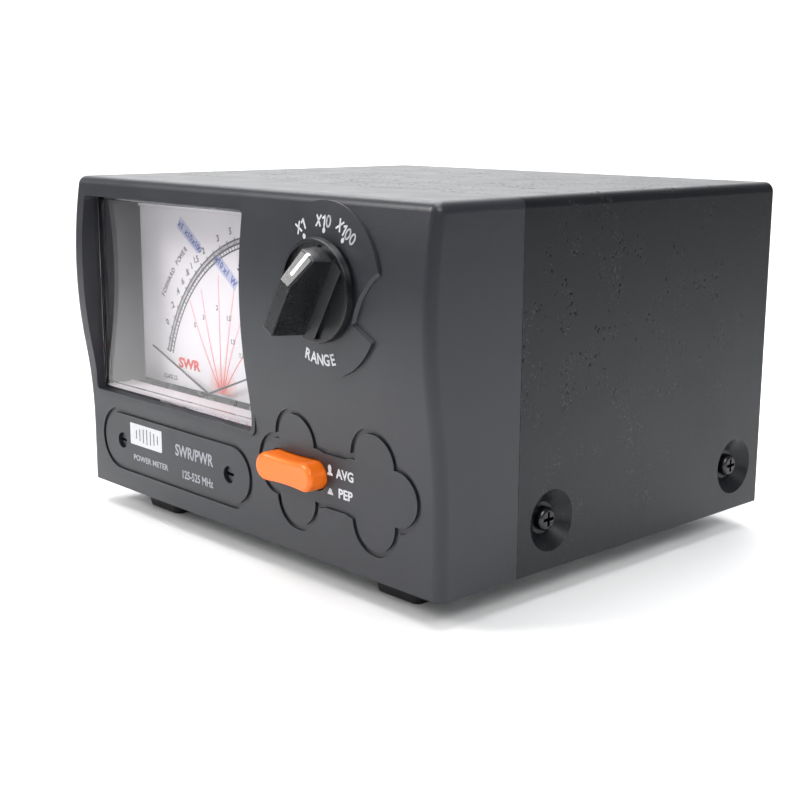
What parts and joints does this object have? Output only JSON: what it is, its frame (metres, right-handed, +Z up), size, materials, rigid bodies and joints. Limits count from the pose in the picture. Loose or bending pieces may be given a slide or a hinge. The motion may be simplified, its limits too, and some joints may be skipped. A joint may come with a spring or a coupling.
{
  "type": "swr meter",
  "caption": "Desktop cross-needle standing-wave and power meter with a curved front, windowed dial, range knob, mode push-button and rear coaxial sockets.",
  "frame": {"origin": "middle of the footprint, on the surface the feet rest on", "axes": "+Z up, the front panel faces -Y, +X to the right seen from the front"},
  "size_m": [0.14, 0.1506, 0.0909],
  "materials": {
    "bezel_plastic": "fine textured satin",
    "cover_paint": "satin with fine texture",
    "zinc_sheet": "zinc plated",
    "dark_screw": "blackened",
    "bright_screw": "zinc plated",
    "knob_plastic": "satin moulded",
    "white_inlay": "satin",
    "orange_cap": "satin moulded",
    "white_plastic": "satin",
    "black_plastic": "satin moulded",
    "clear_plastic": "clear polished",
    "dial_paint": "matt white",
    "plated_steel": "zinc plated",
    "magnet": "ground",
    "brass_fitting": "satin",
    "spring_bronze": "drawn wire",
    "copper_coil": "enamelled winding",
    "needle_paint": "matt black",
    "circuit_board": "lacquered",
    "capacitor_sleeve": "sleeved can",
    "trimmer_blue": "moulded",
    "lamp_resin": "clear resin",
    "cast_box": "die cast",
    "bright_nickel": "nickel plated",
    "cable_jacket": "matt",
    "foot_rubber": "matt"
  },
  "bodies": {
    "case": {"front_bezel": "bezel_plastic", "top_cover": "cover_paint", "chassis_base": "zinc_sheet", "rear_panel": "cover_paint", "cover_screws": "dark_screw", "front_screws": "bright_screw", "rear_screws": "dark_screw", "foot_screws": "dark_screw", "range_switch_body": "black_plastic", "range_bushing": "plated_steel", "mode_switch_body": "black_plastic", "mode_spring": "spring_bronze", "meter_cover": "clear_plastic", "meter_housing": "black_plastic", "dial_plate": "dial_paint", "meter_mask": "white_plastic", "movement_yokes": "plated_steel", "core_magnets": "magnet", "movement_bridges": "brass_fitting", "hairsprings": "spring_bronze", "lamp_strip": "circuit_board", "dial_lamps": "lamp_resin", "switch_board": "circuit_board", "board_pillars": "bright_screw", "board_screws": "bright_screw", "main_board": "circuit_board", "board_chips": "black_plastic", "board_capacitors": "capacitor_sleeve", "trimmers": "trimmer_blue", "cable_header": "white_plastic", "coupler_housing": "cast_box", "coupler_lid": "cast_box", "coupler_lid_screws": "bright_screw", "coupler_board": "circuit_board", "coupler_line": "brass_fitting", "connector_insulators": "white_plastic", "connector_contacts": "brass_fitting", "connector_screws": "bright_screw", "dc_jack": "black_plastic", "dc_jack_pin": "brass_fitting", "sensor_cable": "cable_jacket", "foot_front_left": "foot_rubber", "foot_front_right": "foot_rubber", "foot_rear_left": "foot_rubber", "foot_rear_right": "foot_rubber", "tx_connector": "bright_nickel", "antenna_connector": "bright_nickel"},
    "range_control": {"range_knob": "knob_plastic", "knob_pointer_line": "white_inlay", "range_shaft": "plated_steel"},
    "mode_key": {"mode_button": "orange_cap", "mode_plunger": "white_plastic"},
    "forward_needle": {"forward_pointer": "needle_paint", "forward_coil": "copper_coil"},
    "reflected_needle": {"reflected_pointer": "needle_paint", "reflected_coil": "copper_coil"},
    "left_adjuster": {"left_zero_screw": "dark_screw"},
    "right_adjuster": {"right_zero_screw": "dark_screw"},
    "left_trim": {"left_zero_lever": "brass_fitting"},
    "right_trim": {"right_zero_lever": "brass_fitting"}
  },
  "joints": [
    {"name": "range_turn", "type": "hinge", "parent": "case", "child": "range_control", "pos_m": [0.0365, -0.0637, 0.07035], "axis": [0, 1, 0], "range_deg": [-60, 0]},
    {"name": "mode_press", "type": "slide", "parent": "case", "child": "mode_key", "axis": [0, 1, 0], "range_m": [0, 0.0025], "stiffness_N_per_m": 300, "springref_m": -0.002, "deforming": ["mode_spring"]},
    {"name": "forward_swing", "type": "hinge", "parent": "case", "child": "forward_needle", "pos_m": [-0.0106, -0.0477, 0.028], "axis": [0, 1, 0], "range_deg": [0, 78], "stiffness_Nm_per_rad": 0.00003, "springref_deg": -17.19},
    {"name": "reflected_swing", "type": "hinge", "parent": "case", "child": "reflected_needle", "pos_m": [-0.0482, -0.0477, 0.028], "axis": [0, -1, 0], "range_deg": [0, 78], "stiffness_Nm_per_rad": 0.00003, "springref_deg": -17.19},
    {"name": "left_zero_turn", "type": "hinge", "parent": "case", "child": "left_adjuster", "pos_m": [-0.0539, -0.0557, 0.0199], "axis": [0, 1, 0], "range_deg": [-25, 25]},
    {"name": "left_trim_turn", "type": "hinge", "parent": "case", "child": "left_trim", "pos_m": [-0.0482, -0.051, 0.028], "axis": [0, 1, 0], "range_deg": [-4, 4]},
    {"name": "right_zero_turn", "type": "hinge", "parent": "case", "child": "right_adjuster", "pos_m": [-0.0049, -0.0557, 0.0199], "axis": [0, 1, 0], "range_deg": [-25, 25]},
    {"name": "right_trim_turn", "type": "hinge", "parent": "case", "child": "right_trim", "pos_m": [-0.0106, -0.051, 0.028], "axis": [0, 1, 0], "range_deg": [-4, 4]}
  ],
  "couplings": [
    {"joint": "left_trim_turn", "follows": "left_zero_turn", "ratio": -0.1346},
    {"joint": "right_trim_turn", "follows": "right_zero_turn", "ratio": -0.1346}
  ]
}
